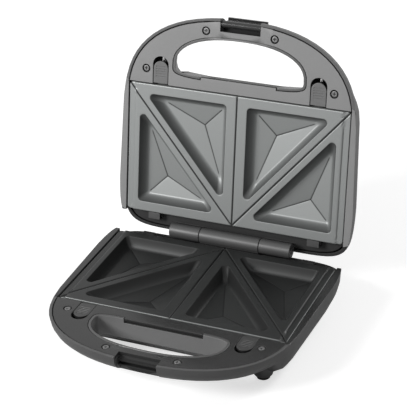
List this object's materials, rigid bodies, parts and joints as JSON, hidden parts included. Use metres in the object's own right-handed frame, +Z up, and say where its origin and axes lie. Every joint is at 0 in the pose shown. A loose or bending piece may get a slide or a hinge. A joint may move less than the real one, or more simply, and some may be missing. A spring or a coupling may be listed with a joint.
{
  "type": "sandwich toaster",
  "caption": "Two-slice sandwich toaster shown open: base and hinged lid with handles, removable plates with triangular cavities, and a latch clip.",
  "frame": {"origin": "on the table, under the middle of the open toaster's bounding box", "axes": "+X to the right along the hinge, +Y to the rear, +Z up; the handles point to -Y"},
  "size_m": [0.2388, 0.2771, 0.2481],
  "materials": {
    "housing": "satin moulded plastic",
    "frame": "satin moulded plastic, a shade lighter than the housings",
    "nonstick": "dark grey nonstick coating over a casting",
    "heater_tube": "heat-stained tube",
    "tray_sheet": "plain sheet",
    "tab": "moulded plastic with a ribbed face",
    "spring_steel": "drawn wire",
    "hook_steel": "dark zinc",
    "screw_steel": "dark zinc",
    "rubber": "matt rubber",
    "ceramic_block": "cream block",
    "control_metal": "plain metal can",
    "pin_steel": "drawn rod",
    "clip": "satin moulded plastic",
    "lens_red": "clear red lens",
    "lens_green": "clear green lens",
    "bulb": "lamp capsule"
  },
  "bodies": {
    "base": {"base_shell": "housing", "base_frame": "frame", "base_plate": "nonstick", "base_heater": "heater_tube", "base_tray": "tray_sheet", "base_spring_left": "spring_steel", "base_spring_right": "spring_steel", "base_hook_left": "hook_steel", "base_hook_right": "hook_steel", "base_screws": "screw_steel", "foot_front_left": "rubber", "foot_front_right": "rubber", "foot_rear_left": "rubber", "foot_rear_right": "rubber", "cable_gland": "rubber", "terminal_block": "ceramic_block", "thermostat": "control_metal", "hinge_pin": "pin_steel"},
    "lid": {"lid_shell": "housing", "lid_frame": "frame", "lid_plate": "nonstick", "lid_heater": "heater_tube", "lid_tray": "tray_sheet", "lid_spring_left": "spring_steel", "lid_spring_right": "spring_steel", "lid_hook_left": "hook_steel", "lid_hook_right": "hook_steel", "lid_screws": "screw_steel", "latch_pin": "pin_steel", "lamp_lens_red": "lens_red", "lamp_lens_green": "lens_green", "lamp_bulbs": "bulb", "thermal_fuse": "control_metal"},
    "latch": {"latch_clip": "clip"},
    "base_release_left_body": {"base_release_left": "tab"},
    "base_release_right_body": {"base_release_right": "tab"},
    "lid_release_left_body": {"lid_release_left": "tab"},
    "lid_release_right_body": {"lid_release_right": "tab"}
  },
  "joints": [
    {"name": "lid_hinge", "type": "hinge", "parent": "base", "child": "lid", "pos_m": [0, 0.07458, 0.04], "axis": [1, 0, 0], "range_deg": [0, 102]},
    {"name": "latch_hinge", "type": "hinge", "parent": "lid", "child": "latch", "pos_m": [0, 0.12253, 0.24153], "axis": [1, 0, 0], "range_deg": [0, 180]},
    {"name": "base_release_left_slide", "type": "slide", "parent": "base", "child": "base_release_left_body", "axis": [0, -1, 0], "range_m": [0, 0.004], "stiffness_N_per_m": 400, "springref_m": -0.003, "deforming": ["base_spring_left"]},
    {"name": "base_release_right_slide", "type": "slide", "parent": "base", "child": "base_release_right_body", "axis": [0, -1, 0], "range_m": [0, 0.004], "stiffness_N_per_m": 400, "springref_m": -0.003, "deforming": ["base_spring_right"]},
    {"name": "lid_release_left_slide", "type": "slide", "parent": "lid", "child": "lid_release_left_body", "axis": [0, 0.2079, 0.9781], "range_m": [0, 0.004], "stiffness_N_per_m": 400, "springref_m": -0.003, "deforming": ["lid_spring_left"]},
    {"name": "lid_release_right_slide", "type": "slide", "parent": "lid", "child": "lid_release_right_body", "axis": [0, 0.2079, 0.9781], "range_m": [0, 0.004], "stiffness_N_per_m": 400, "springref_m": -0.003, "deforming": ["lid_spring_right"]}
  ]
}
